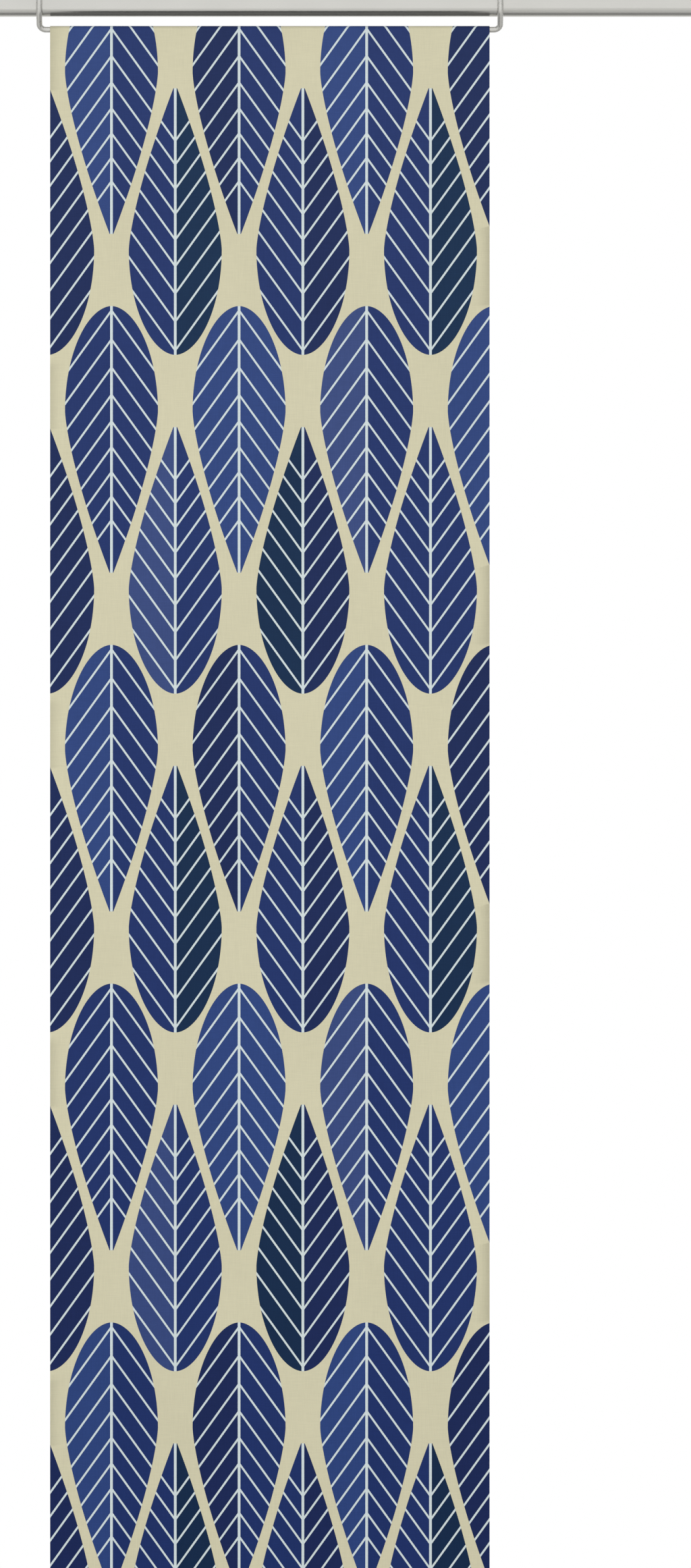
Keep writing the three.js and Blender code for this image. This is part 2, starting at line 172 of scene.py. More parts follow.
def srgb(red, green, blue):
    """A colour given in 0 to 255, as linear values for a shader."""
    return tuple(((c / 255 + 0.055) / 1.055) ** 2.4 for c in (red, green, blue)) + (1.0,)


def scaled(color, by):
    """A colour made lighter or darker."""
    return tuple(min(c * by, 1.0) for c in color[:3]) + (1.0,)


# Meshes

def linked(name, mesh):
    """A new object of a mesh, in the scene."""
    obj = bpy.data.objects.new(name, mesh)
    bpy.context.scene.collection.objects.link(obj)
    return obj


def piece(name, verts, faces, body, materials, face_slots=None):
    """A mesh piece from points in millimetres, riding on a CAD body."""
    mesh = bpy.data.meshes.new(name)
    mesh.from_pydata([tuple(v) for v in np.asarray(verts, float) * MM], [], [tuple(f) for f in faces])
    mesh.polygons.foreach_set("use_smooth", [True] * len(mesh.polygons))
    if face_slots is not None:
        mesh.polygons.foreach_set("material_index", np.asarray(face_slots, np.int32))
    obj = linked(name, mesh)
    for material in materials:
        mesh.materials.append(material)
    mesh.update()
    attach(obj, body)
    return obj


def sharp_by_angle(obj, degrees):
    """Smooth shading that breaks at edges sharper than the angle."""
    mesh = obj.data
    bm = bmesh.new()
    bm.from_mesh(mesh)
    for edge in bm.edges:
        edge.smooth = len(edge.link_faces) == 2 and edge.calc_face_angle(0) < math.radians(degrees)
    bm.to_mesh(mesh)
    bm.free()
    return obj


def lathe(profile, sides):
    """Points and faces of a profile of (radius, along) turned round the X axis. The profile runs outward,
    then towards +X and back in, and closes on itself or, with points of no radius, on the axis."""
    verts, faces, rings = [], [], []
    for radius, along in profile:
        count = sides if radius else 1
        first = len(verts)
        for k in range(count):
            a = 2 * math.pi * k / sides
            verts.append((along, radius * math.cos(a), radius * math.sin(a)))
        rings.append([first + k % count for k in range(sides)])
    for ring, following in zip(rings, rings[1:] + rings[:1]):
        for k in range(sides):
            m = (k + 1) % sides
            corners = tuple(dict.fromkeys((ring[k], ring[m], following[m], following[k])))
            if len(corners) > 2:
                faces.append(corners)
    return np.array(verts), faces


def tube(points, radius, sides, dome_steps=6):
    """Points and faces of a round rod along a line, with domed ends."""
    points = np.asarray(points, float)
    along = np.gradient(points, axis=0)
    along /= np.linalg.norm(along, axis=1)[:, None]
    side = np.cross(along[0], (1.0, 0.0, 0.0))
    side /= np.linalg.norm(side)
    rings = []
    for point, direction in zip(points, along):
        side = side - direction * side.dot(direction)
        side /= np.linalg.norm(side)
        rings.append((point, direction, side.copy(), radius))

    def domed(ring, way, a):
        """A smaller ring on the dome beyond an end ring, at an angle round the dome."""
        point, direction, side, _ = ring
        return point + way * radius * math.sin(a) * direction, direction, side, radius * math.cos(a)

    first, last = rings[0], rings[-1]
    domes = [math.radians(90 * k / dome_steps) for k in range(1, dome_steps)]
    rings = [domed(first, -1, a) for a in domes[::-1]] + rings + [domed(last, 1, a) for a in domes]
    turn = 2 * np.pi * np.arange(sides) / sides
    verts = []
    for point, direction, side, r in rings:
        other = np.cross(direction, side)
        verts.extend(point + r * (np.cos(a) * side + np.sin(a) * other) for a in turn)
    faces = []
    for i in range(len(rings) - 1):
        for k in range(sides):
            m = (k + 1) % sides
            faces.append((i * sides + k, i * sides + m, (i + 1) * sides + m, (i + 1) * sides + k))
    start_tip = len(verts)
    verts.append(first[0] - first[1] * radius)
    verts.append(last[0] + last[1] * radius)
    last_ring = (len(rings) - 1) * sides
    faces += [(start_tip, (k + 1) % sides, k) for k in range(sides)]
    faces += [(start_tip + 1, last_ring + k, last_ring + (k + 1) % sides) for k in range(sides)]
    return np.array(verts), faces


def cad_copy(node, name, body, slot_name, material, voxel=None):
    """A finer piece on a CAD node's own shape: cast edges by remeshing, or small bevels."""
    source = frame["nodes"][node]
    bm = bmesh.new()
    bm.from_mesh(source.data)
    bm.transform(source.matrix_world)
    bmesh.ops.remove_doubles(bm, verts=bm.verts, dist=SAME_PLACE_METRES)
    flat = math.radians(FLAT_ANGLE)
    bmesh.ops.dissolve_limit(bm, angle_limit=flat, verts=bm.verts, edges=bm.edges)
    mesh = bpy.data.meshes.new(name)
    bm.to_mesh(mesh)
    bm.free()
    obj = linked(name, mesh)
    mesh.materials.clear()
    mesh.materials.append(material)
    mesh.polygons.foreach_set("use_smooth", [True] * len(mesh.polygons))
    mesh.polygons.foreach_set("material_index", [0] * len(mesh.polygons))
    if voxel:
        remesh = obj.modifiers.new("remesh", "REMESH")
        remesh.mode = "VOXEL"
        remesh.voxel_size = voxel * MM
        remesh.use_smooth_shade = True
        smooth = obj.modifiers.new("smooth", "SMOOTH")
        smooth.factor = 0.5
        smooth.iterations = 6
    else:
        bevel = obj.modifiers.new("bevel", "BEVEL")
        bevel.width = STEEL_BEVEL * MM
        bevel.segments = 2
        bevel.limit_method = "ANGLE"
        bevel.angle_limit = math.radians(STEEL_BEVEL_ANGLE)
        bevel.harden_normals = True
    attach(obj, body)
    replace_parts(obj, node)
    return obj


# Materials

class Look:
    """A procedural material, with short calls for the nodes that the looks below share."""

    def __init__(self, name, rough, metal=0.0, sheen=0.0):
        self.material = bpy.data.materials.new(name)
        self.material.use_nodes = True
        self.tree = self.material.node_tree
        self.shader = next(n for n in self.tree.nodes if n.type == "BSDF_PRINCIPLED")
        self.shader.inputs["Roughness"].default_value = rough
        self.shader.inputs["Metallic"].default_value = metal
        self.shader.inputs["Sheen Weight"].default_value = sheen
        self.place = self.node("ShaderNodeTexCoord").outputs["Object"]

    def node(self, kind, **settings):
        node = self.tree.nodes.new(kind)
        for key, value in settings.items():
            setattr(node, key, value)
        return node

    def link(self, source, target):
        self.tree.links.new(source, target)

    def feed(self, socket, value):
        """A link into a socket, or a plain value on it."""
        if isinstance(value, (int, float, tuple)):
            socket.default_value = value
        else:
            self.link(value, socket)

    def noise(self, x, y, z, detail):
        """Soft noise with the given number of cells per metre along each axis."""
        mapping = self.node("ShaderNodeMapping")
        self.link(self.place, mapping.inputs["Vector"])
        mapping.inputs["Scale"].default_value = (x, y, z)
        noise = self.node("ShaderNodeTexNoise")
        self.link(mapping.outputs["Vector"], noise.inputs["Vector"])
        noise.inputs["Scale"].default_value = 1.0
        noise.inputs["Detail"].default_value = detail
        return noise.outputs["Fac"]

    def threads(self, direction, per_metre):
        """Parallel threads, per_metre of them in a metre."""
        wave = self.node("ShaderNodeTexWave", wave_type="BANDS", wave_profile="SIN")
        wave.bands_direction = direction
        self.link(self.place, wave.inputs["Vector"])
        wave.inputs["Scale"].default_value = per_metre * math.pi / 10
        return wave.outputs["Fac"]

    def combined(self, operation, a, b):
        node = self.node("ShaderNodeMath", operation=operation)
        self.feed(node.inputs[0], a)
        self.feed(node.inputs[1], b)
        return node.outputs[0]

    def between(self, fac, low, high, to_low=0.0, to_high=1.0):
        """A value's run from low to high stretched over another run, and held at its ends."""
        node = self.node("ShaderNodeMapRange")
        self.link(fac, node.inputs["Value"])
        ends = {"From Min": low, "From Max": high, "To Min": to_low, "To Max": to_high}
        for socket, value in ends.items():
            node.inputs[socket].default_value = value
        return node.outputs["Result"]

    def mixed(self, fac, a, b):
        """One colour at 0 and another at 1."""
        node = self.node("ShaderNodeMix", data_type="RGBA")
        color_a, color_b, color_out = node.inputs[6], node.inputs[7], node.outputs[2]
        self.link(fac, node.inputs["Factor"])
        self.feed(color_a, a)
        self.feed(color_b, b)
        return color_out

    def varied(self, fac, color, share):
        """A colour that runs from darker to lighter by a share either way."""
        return self.mixed(fac, scaled(color, 1 - share), scaled(color, 1 + share))

    def bump(self, height, distance_mm, strength):
        node = self.node("ShaderNodeBump")
        node.inputs["Distance"].default_value = distance_mm * MM
        node.inputs["Strength"].default_value = strength
        self.link(height, node.inputs["Height"])
        self.link(node.outputs["Normal"], self.shader.inputs["Normal"])

    def set(self, name, output):
        self.link(output, self.shader.inputs[name])


# Noise mostly lies between these two values, and is stretched from there to run from 0 to 1.
NOISE_LOW = 0.35
NOISE_HIGH = 0.65

# Threads and slubs per metre, and the heights in metres over which a print's colour turns lighter towards
# the top, a painted haze of the light that falls from above
WARP_PER_METRE = 1500
WEFT_PER_METRE = 1400
SLUB_ACROSS = 1400
SLUB_ALONG = 45
PAINTED_HAZE_FROM_Z = -2.14
PAINTED_HAZE_TO_Z = 0.0


def cloth_look(name, color, contrast=0.05, flecks=None, painted_haze_color=None):
    """Plain weave: warp and weft threads in relief, slubs along both and slow unevenness of the dye.
    A print given a lighter top colour runs to it towards the top: painted haze of the light from above."""
    look = Look(name, rough=0.9, sheen=0.03)
    look.shader.inputs["Specular IOR Level"].default_value = 0.15
    warp = look.threads("X", WARP_PER_METRE)
    weft = look.threads("Z", WEFT_PER_METRE)
    weave = look.combined("MAXIMUM", warp, weft)
    upright = look.noise(SLUB_ACROSS, SLUB_ACROSS, SLUB_ALONG, 1)
    level = look.noise(SLUB_ALONG, SLUB_ALONG, SLUB_ACROSS, 1)
    slubs = look.combined("ADD", upright, level)
    slub_tone = look.combined("MULTIPLY", slubs, 0.35)
    dye_tone = look.combined("MULTIPLY", look.noise(9, 9, 6, 3), 0.3)
    fac = look.between(look.combined("ADD", slub_tone, dye_tone), NOISE_LOW, NOISE_HIGH)
    tone = look.varied(fac, color, contrast)
    # Painted haze of light: the print's colour runs to the lighter top colour from low on the panel up to
    # the rail.
    if painted_haze_color:
        height = look.node("ShaderNodeSeparateXYZ")
        look.link(look.place, height.inputs[0])
        rise = look.between(height.outputs["Z"], PAINTED_HAZE_FROM_Z, PAINTED_HAZE_TO_Z)
        tone = look.mixed(rise, tone, look.varied(fac, painted_haze_color, contrast))
    if flecks:
        speck = look.between(look.noise(900, 900, 900, 1), 0.66, 0.8, 0.0, 0.35)
        tone = look.mixed(speck, tone, flecks)
    look.set("Base Color", tone)
    relief = look.combined("ADD", weave, look.combined("MULTIPLY", slubs, 0.5))
    look.bump(relief, 0.06, 0.5)
    return look.material


def satin_look(name, color, metal, rough):
    """Satin plating or enamel: slow unevenness of tone and a very fine grain."""
    look = Look(name, rough=rough, metal=metal)
    tint = look.between(look.noise(14, 40, 40, 3), NOISE_LOW, NOISE_HIGH)
    look.set("Base Color", look.varied(tint, color, 0.015))
    grain = look.noise(700, 700, 700, 2)
    look.set("Roughness", look.between(grain, 0.3, 0.7, rough - 0.03, rough + 0.05))
    look.bump(grain, 0.02, 0.25)
    return look.material


def drawn_steel_look(name, color, rough, metal=1.0, along=(25, 1100, 1100)):
    """Steel with faint lines along the way it was drawn, and a few dull patches."""
    look = Look(name, rough=rough, metal=metal)
    lines = look.noise(*along, 2)
    line_tone = look.combined("MULTIPLY", lines, 0.5)
    patch_tone = look.combined("MULTIPLY", look.noise(30, 30, 30, 3), 0.5)
    fac = look.between(look.combined("ADD", line_tone, patch_tone), NOISE_LOW, NOISE_HIGH)
    look.set("Base Color", look.varied(fac, color, 0.07))
    look.set("Roughness", look.between(lines, 0.3, 0.7, rough - 0.05, rough + 0.07))
    look.bump(lines, 0.015, 0.3)
    return look.material


def plastic_look(name, color):
    """Moulded plastic: a fine grain and a slight cloudiness."""
    look = Look(name, rough=0.5)
    grain = look.noise(1300, 1300, 1300, 2)
    cloud = look.between(look.noise(60, 60, 60, 2), NOISE_LOW, NOISE_HIGH)
    look.set("Base Color", look.varied(cloud, color, 0.02))
    look.set("Roughness", look.between(grain, 0.3, 0.7, 0.44, 0.56))
    look.bump(grain, 0.03, 0.35)
    return look.material


CLOTH_COLOR = srgb(205, 200, 171)
VEIN_COLOR = srgb(203, 214, 215)
CUT_EDGE_SHADE = 0.86
FLECK_SHADE = 1.7
INK_CONTRAST = 0.09
INK_SEEN_THROUGH = 0.38
# Each blue low on the panel, and at its top, where painted haze of the light from above makes it a little
# lighter
BLUES = {
    MID: (srgb(43, 65, 120), srgb(54, 73, 125)),
    GREY_MID: (srgb(52, 69, 120), srgb(64, 79, 126)),
    ROYAL: (srgb(29, 47, 99), srgb(43, 58, 106)),
    NAVY: (srgb(25, 38, 82), srgb(37, 49, 88)),
    GREEN_NAVY: (srgb(18, 40, 70), srgb(31, 52, 80)),
}


def ink_look(tone):
    # The second blue of each pair is the painted haze of light at the top of the panel.
    low, high = BLUES[tone]
    flecks = scaled(low, FLECK_SHADE)
    return cloth_look(f"ink_{tone}_weave", low, contrast=INK_CONTRAST, flecks=flecks, painted_haze_color=high)


def reverse_look(tone):
    """The print as it shows faintly on the reverse of the cloth."""
    ink, _ = BLUES[tone]
    ground = CLOTH_COLOR
    through = tuple((1 - INK_SEEN_THROUGH) * g + INK_SEEN_THROUGH * c for g, c in zip(ground[:3], ink[:3]))
    return cloth_look(f"reverse_{tone}_weave", through + (1.0,))


cloth_material = cloth_look("cloth_weave", CLOTH_COLOR)
cut_edge_material = cloth_look("cloth_cut_edge", scaled(CLOTH_COLOR, CUT_EDGE_SHADE))
vein_material = cloth_look("vein_weave", VEIN_COLOR)
ink_materials = {tone: ink_look(tone) for tone in BLUES}
reverse_materials = {tone: reverse_look(tone) for tone in BLUES}
rail_material = satin_look("rail_nickel", srgb(208, 207, 202), 0.96, 0.17)
bracket_material = satin_look("bracket_enamel", srgb(206, 206, 200), 0.3, 0.42)
cap_material = plastic_look("cap_plastic", srgb(200, 199, 192))
rod_material = drawn_steel_look("rod_steel", srgb(206, 205, 200), 0.28, metal=0.65, along=(150, 150, 150))
bar_material = drawn_steel_look("bar_steel", srgb(168, 168, 168), 0.38)
grub_material = drawn_steel_look("grub_steel", srgb(112, 113, 116), 0.35, along=(1100, 1100, 1100))


# Rail, caps, brackets

def rail_tube():
    """A hollow tube with eased ends. Points along it keep its faces from being very long."""
    outer = RAIL_RADIUS
    inner = RAIL_RADIUS - RAIL_WALL
    ease = RAIL_EDGE
    steps = np.linspace(RAIL_FROM + RAIL_POINTS_INSET, RAIL_TO - RAIL_POINTS_INSET, RAIL_POINTS)
    profile = [(inner, RAIL_FROM + ease), (inner + ease, RAIL_FROM), (outer - ease, RAIL_FROM),
               (outer, RAIL_FROM + ease)]
    profile += [(outer, x) for x in steps]
    profile += [(outer, RAIL_TO - ease), (outer - ease, RAIL_TO), (inner + ease, RAIL_TO),
                (inner, RAIL_TO - ease)]
    profile += [(inner, x) for x in steps[::-1]]
    verts, faces = lathe(profile, TURNED_SIDES)
    verts += (0, RAIL_Y, 0)
    rail = piece("rail", verts, faces, "rail", [rail_material])
    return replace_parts(sharp_by_angle(rail, SHARP_EDGE_ANGLE), "rail_tube")


def rail_cap(side):
    """A plug in the rail's end with a rounded rim and a shallow dish in its face."""
    sign, end = (-1, RAIL_FROM) if side == "left" else (1, RAIL_TO)
    plug = RAIL_RADIUS - RAIL_WALL - REST_GAP
    corner, face = CAP_RIM - CAP_RIM_ROUND, CAP_RIM_LENGTH - CAP_RIM_ROUND
    round_rim = [(corner + CAP_RIM_ROUND * math.cos(a), face + CAP_RIM_ROUND * math.sin(a))
                 for a in np.radians(np.linspace(0, 90, 9))]
    dish_rim = CAP_RIM - DISH_INSIDE_RIM
    dish_floor = CAP_RIM_LENGTH - DISH_DEPTH
    dish = [(dish_rim, CAP_RIM_LENGTH), (dish_rim - DISH_SLOPE, dish_floor), (0.0, dish_floor)]
    stem = [(0.0, -CAP_PLUG_LENGTH), (plug - CAP_PLUG_CHAMFER, -CAP_PLUG_LENGTH),
            (plug, -CAP_PLUG_LENGTH + CAP_PLUG_CHAMFER), (plug, CAP_SEAT)]
    seat = [(CAP_RIM - CAP_SEAT_EDGE, CAP_SEAT), (CAP_RIM, CAP_SEAT + CAP_SEAT_EDGE)]
    verts, faces = lathe([*stem, *seat, *round_rim, *dish], TURNED_SIDES)
    verts[:, 0] = end + sign * verts[:, 0]
    verts += (0, RAIL_Y, 0)
    if sign < 0:
        faces = [f[::-1] for f in faces]
    cap = piece(f"{side}_cap", verts, faces, "rail", [cap_material])
    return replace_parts(sharp_by_angle(cap, SHARP_EDGE_ANGLE), f"{side}_rail_cap")


def brackets():
    cast = ("rail", "bracket_enamel", bracket_material)
    for side in ("left", "right"):
        cad_copy(f"{side}_wall_plate", f"{side}_plate", *cast, voxel=PLATE_VOXEL)
        cad_copy(f"{side}_arm", f"{side}_bracket_arm", *cast, voxel=ARM_VOXEL)
        for which in ("arm", "rail"):
            screw = f"{side}_{which}_screw"
            cad_copy(screw, f"{side}_{which}_grub", "rail", "grub_steel", grub_material)


# Hanger

def circle(centre, first, second, radius, start, stop, step=3.0):
    """Points on an arc from one angle to another, between two directions at right angles."""
    count = max(2, round(abs(stop - start) / step) + 1)
    a = np.radians(np.linspace(start, stop, count))[:, None]
    return np.asarray(centre) + radius * (np.cos(a) * first + np.sin(a) * second)


def straight(start, stop, step=40.0):
    """Points on a straight line, about a step apart at most."""
    count = max(2, round(np.linalg.norm(np.subtract(stop, start)) / step) + 1)
    return np.asarray(start) + np.linspace(0, 1, count)[:, None] * np.subtract(stop, start)


def hanger():
    """Hook over the rail, leg, bend, and the straight through the cloth's fold, then the same mirrored."""
    hook = RAIL_RADIUS + REST_GAP + ROD_RADIUS
    lean = math.asin(hook / -ROD_Z)
    down = np.array((0, math.sin(lean), -math.cos(lean)))
    x, back, up = np.eye(3)
    top = np.array((PANEL_MIDDLE - BOW_HALF_SPAN, RAIL_Y, 0.0))
    corner = top + (0, 0, ROD_Z)
    bend_middle = corner - down * ROD_BEND + x * ROD_BEND
    half = [circle(top, back, up, hook, HOOK_END, 180 + math.degrees(lean))]
    half.append(straight(half[0][-1], corner - down * ROD_BEND)[1:])
    half.append(circle(bend_middle, -x, down, ROD_BEND, 0, 90)[1:])
    half.append(straight(half[-1][-1], (PANEL_MIDDLE, RAIL_Y, ROD_Z))[1:])
    half = np.concatenate(half)
    other = half[:-1][::-1] * (-1, 1, 1) + (2 * PANEL_MIDDLE, 0, 0)
    verts, faces = tube(np.concatenate([half, other]), ROD_RADIUS, ROD_SIDES)
    bow = piece("hanger_rod", verts, faces, "hanger", [rod_material])
    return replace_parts(bow, "hanger_bow")


# Cloth

def eased(points, reach=3.0, steps=5):
    """A line with its inner corners rounded off over the given reach."""
    out = [points[0]]
    for before, corner, after in zip(points, points[1:], points[2:]):
        a = corner + (before - corner) * min(1, reach / np.linalg.norm(before - corner))
        b = corner + (after - corner) * min(1, reach / np.linalg.norm(after - corner))
        for t in np.linspace(0, 1, steps):
            out.append((1 - t) ** 2 * a + 2 * t * (1 - t) * corner + t * t * b)
    return out + [points[-1]]


def arc(middle_y, middle_z, radius, start, stop, steps):
    """Points of y and z on an arc from one angle to another."""
    angles = np.radians(np.linspace(start, stop, steps + 1))
    return [np.array((middle_y + radius * math.cos(a), middle_z + radius * math.sin(a))) for a in angles]


def section():
    """The cloth's middle line, from the top hem on the back over the rod, down the front, round the bar
    and up to the bottom hem, as rows of y and z; the length along it; and where on it the front starts."""
    middle = FOLD_IN + CLOTH / 2
    lean = 2 * math.atan(FOLD_IN / ROD_POCKET)
    strip_y = -FOLD_IN + CLOTH / 2 + HEM_GAP
    seam = -(middle - strip_y * math.cos(lean)) / math.sin(lean)
    fold = arc(0, 0, middle, -math.degrees(lean), 180, ROD_FOLD_STEPS)
    top = eased([np.array((strip_y, seam - HEM_STRIP)), np.array((strip_y, seam)), fold[0]])
    bar_radius = BAR_THICKNESS / 2 + REST_GAP + CLOTH / 2
    bar_y = bar_radius - middle
    bar_z = FOLD_OUT - PANEL_HEIGHT + bar_radius + CLOTH / 2
    pocket_top = bar_z + BAR_HEIGHT - BAR_THICKNESS / 2
    bar_seam = pocket_top + BAR_TAPER
    front = [np.array((-middle, z)) for z in np.linspace(0, bar_z, FRONT_ROWS)]
    turn = arc(bar_y, bar_z, bar_radius, 180, 360, BAR_FOLD_STEPS)
    back = eased([turn[-1], np.array((bar_y + bar_radius, pocket_top)),
                  np.array((strip_y, bar_seam)), np.array((strip_y, bar_seam + HEM_STRIP))])
    line = np.array(top[:-1] + fold + front[1:-1] + turn + back[1:])
    length = np.concatenate([[0], np.cumsum(np.linalg.norm(np.diff(line, axis=0), axis=1))])
    start = length[len(top) - 1 + len(fold) - 1]
    return line + (RAIL_Y, ROD_Z), length, start


def outward(line, length):
    """The way the printed side faces along the line: a quarter turn from its run, so that it faces the
    room on the front."""
    along = np.gradient(line, length, axis=0)
    along /= np.linalg.norm(along, axis=1)[:, None]
    return np.stack([along[:, 1], -along[:, 0]], axis=1)


LINE, LENGTH, FRONT_START = section()
OUTWARD = outward(LINE, LENGTH)
CUT_LENGTH = float(LENGTH[-1])


def sway(x, z):
    """How far the hanging cloth stands back from flat: shallow upright waves and a slight curl at both
    side edges, which die out at the rod and the bar."""
    depth = np.clip((PANEL_TOP - z) / PANEL_HEIGHT, 0, 1)
    free = np.sin(np.pi * np.clip(depth * (1 + 2 * HELD_SHARE) - HELD_SHARE, 0, 1)) ** WAVE_FADE
    length, share, start = BROAD_WAVE
    waves = share * np.sin(2 * np.pi * x / length + start)
    length, share, start = NARROW_WAVE
    waves = waves + share * np.sin(2 * np.pi * x / length + start + z / WAVE_DRIFT)
    from_edge = np.minimum(x - PANEL_LEFT, PANEL_LEFT + PANEL_WIDTH - x) / EDGE_CURL_REACH
    return free * (WAVE_HEIGHT * waves + EDGE_CURL * np.exp(-np.clip(from_edge, 0, None)))


def on_cloth(flat, offset):
    """Points for flat places (across, along the cut), offset from the middle of the cloth."""
    x = PANEL_LEFT + flat[:, 0]
    mid = np.stack([np.interp(flat[:, 1], LENGTH, LINE[:, k]) for k in (0, 1)], axis=1)
    out = np.stack([np.interp(flat[:, 1], LENGTH, OUTWARD[:, k]) for k in (0, 1)], axis=1)
    out /= np.linalg.norm(out, axis=1)[:, None]
    y, z = (mid + offset * out).T
    return np.stack([x, y + sway(x, mid[:, 1]), z], axis=1)


# Print

def half_width(s):
    """Half the leaf's width at a distance from its blunt end: half an oval, then a slightly bowed taper."""
    oval = LEAF_HALF_WIDTH * np.sin(np.arccos(np.clip(1 - s / LEAF_WIDEST, 0, 1))) ** LEAF_ROUNDNESS
    along = np.clip((s - LEAF_WIDEST) / (LEAF_LENGTH - LEAF_WIDEST), 0, 1)
    taper = LEAF_HALF_WIDTH + (LEAF_TIP - LEAF_HALF_WIDTH) * along ** LEAF_TAPER
    return np.where(s < LEAF_WIDEST, oval, taper)


def leaf_lines():
    """A half leaf's lines as lists of (across from the midrib, from the blunt end)."""
    rounded = LEAF_WIDEST * (1 - np.cos(np.linspace(LEAF_FIRST_ANGLE, math.pi / 2, LEAF_OVAL_POINTS)))
    along = np.linspace(0, 1, LEAF_TAPER_POINTS)[1:] ** LEAF_TAPER_CROWDING
    places = np.concatenate([rounded, LEAF_WIDEST + (LEAF_LENGTH - LEAF_WIDEST) * along])
    outline = [(0.0, 0.0), *zip(half_width(places), places), (0.0, LEAF_LENGTH)]
    lines = [outline, [(HALF_MIDRIB, 0.0), (HALF_MIDRIB, LEAF_LENGTH)]]
    for start in VEIN_STARTS:
        for edge in (start - VEIN_RISE, start + VEIN_RISE):
            across = np.linspace(HALF_MIDRIB, LEAF_HALF_WIDTH, VEIN_TRIES)
            inside = across[across <= half_width(edge + VEIN_SLOPE * across)]
            if len(inside):
                ends = (HALF_MIDRIB, inside[-1] + VEIN_PAST_OUTLINE)
                lines.append([(across, edge + VEIN_SLOPE * across) for across in ends])
    return lines


def tones_of(column, row):
    """The blues of a leaf's left and right half."""
    place = column % 4
    if row % 2 == 0:
        return ((ROYAL, NAVY), (MID, ROYAL), (ROYAL, GREEN_NAVY), (NAVY, ROYAL))[place]
    if place == 3:
        return MID, MID
    if place == 0:
        return GREEN_NAVY, NAVY
    return (GREY_MID if column % 3 == 2 else ROYAL), ROYAL


def leaves():
    """Each leaf as (midrib, blunt end, way it points along the cut, blues), in flat places."""
    top = FRONT_START - FOLD_OUT
    for column in range(COLUMNS):
        down = column % 2 == 1
        for row in ROWS:
            blunt = (DOWN_BLUNT_END if down else UP_BLUNT_END) + row * ROW_PITCH + top
            way = 1 if down else -1
            tip = blunt + way * LEAF_LENGTH
            if max(blunt, tip) > 0 and min(blunt, tip) < CUT_LENGTH:
                yield FIRST_MIDRIB + column * MIDRIB_PITCH, blunt, way, tones_of(column, row)


def clipped(a, b):
    """The part of a segment that lies on the cloth, or None."""
    low, high = 0.0, 1.0
    for k, limit in ((0, PANEL_WIDTH), (1, CUT_LENGTH)):
        step = b[k] - a[k]
        for edge, sign in ((0.0, -1), (limit, 1)):
            room, rate = sign * (edge - a[k]), sign * step
            if abs(rate) < NO_STEP:
                if room < 0:
                    return None
            elif rate > 0:
                high = min(high, room / rate)
            else:
                low = max(low, room / rate)
    if high - low < NO_LENGTH:
        return None
    a, b = np.array(a), np.array(b)
    ends = (np.clip(a + t * (b - a), 0, (PANEL_WIDTH, CUT_LENGTH)) for t in (low, high))
    return tuple(tuple(end) for end in ends)


def partition():
    """Triangles of the flat cut that follow the folds, a grid and every line of the print. They face the
    way that the printed side does once the cut hangs, which is the back of the flat cut."""
    segments = [((0.0, s), (PANEL_WIDTH, s)) for s in LENGTH]
    segments += [((x, 0.0), (x, CUT_LENGTH)) for x in np.linspace(0, PANEL_WIDTH, ACROSS_LINES)]
    for midrib, blunt, way, _ in leaves():
        for side in (-1, 1):
            for line in leaf_lines():
                flat = [(midrib + side * across, blunt + way * s) for across, s in line]
                segments += [c for c in (clipped(a, b) for a, b in zip(flat, flat[1:])) if c]
    points = [Vector(p) for segment in segments for p in segment]
    edges = [(2 * i, 2 * i + 1) for i in range(len(segments))]
    verts, _, faces, *_ = delaunay_2d_cdt(points, edges, [], 0, WELD)
    flat = np.array([tuple(v) for v in verts])
    faces = np.array([tuple(f) for f in faces])
    corners = flat[faces]
    area = np.cross(corners[:, 1] - corners[:, 0], corners[:, 2] - corners[:, 0])
    faces[area > 0] = faces[area > 0][:, ::-1]
    return flat, faces[np.abs(area) > NO_AREA]


def tones_at(places):
    """The tone at each flat place."""
    tone = np.full(len(places), GROUND)
    for midrib, blunt, way, blues in leaves():
        across = places[:, 0] - midrib
        s = way * (places[:, 1] - blunt)
        a = np.abs(across)
        inside = (s > 0) & (s < LEAF_LENGTH) & (a < half_width(s))
        off = np.abs(s[:, None] - VEIN_SLOPE * a[:, None] - VEIN_STARTS[None, :]).min(axis=1)
        vein = (a < HALF_MIDRIB) | (off < VEIN_RISE)
        tone = np.where(inside, np.where(vein, VEIN, np.where(across < 0, blues[0], blues[1])), tone)
    return tone


def shell(flat, faces):
    """The cloth as one closed thin sheet: printed side, reverse and the cut edges between them."""
    count = len(flat)
    verts = np.concatenate([on_cloth(flat, CLOTH / 2), on_cloth(flat, -CLOTH / 2)])
    edges = {e: True for a, b, c in faces for e in ((a, b), (b, c), (c, a))}
    rim = [e for e in edges if (e[1], e[0]) not in edges]
    walls = [(b, a, a + count, b + count) for a, b in rim]
    outer = [tuple(f) for f in faces]
    inner = [tuple(f[::-1] + count) for f in faces]
    return verts, outer + inner + walls, [0] * (2 * len(faces)) + [1] * len(walls)


def printed(name, flat, faces, tone, inks):
    """The faces of some tones as a film on the printed side, and fainter on the reverse. Each ink is
    (tone, look on the printed side, look on the reverse or None)."""
    verts, out, slots, looks = [], [], [], []
    base = 0
    for side in (1, -1):
        for which, front_look, back_look in inks:
            look = front_look if side > 0 else back_look
            chosen = faces[tone == which]
            if look is None or not len(chosen):
                continue
            used, local = np.unique(chosen, return_inverse=True)
            local = local.reshape(-1, 3) + base
            verts.append(on_cloth(flat[used], side * (CLOTH / 2 + FILM_LIFT)))
            out += [tuple(f if side > 0 else f[::-1]) for f in local]
            slots += [len(looks)] * len(chosen)
            looks.append(look)
            base += len(used)
    return piece(name, np.concatenate(verts), out, "curtain", looks, slots)


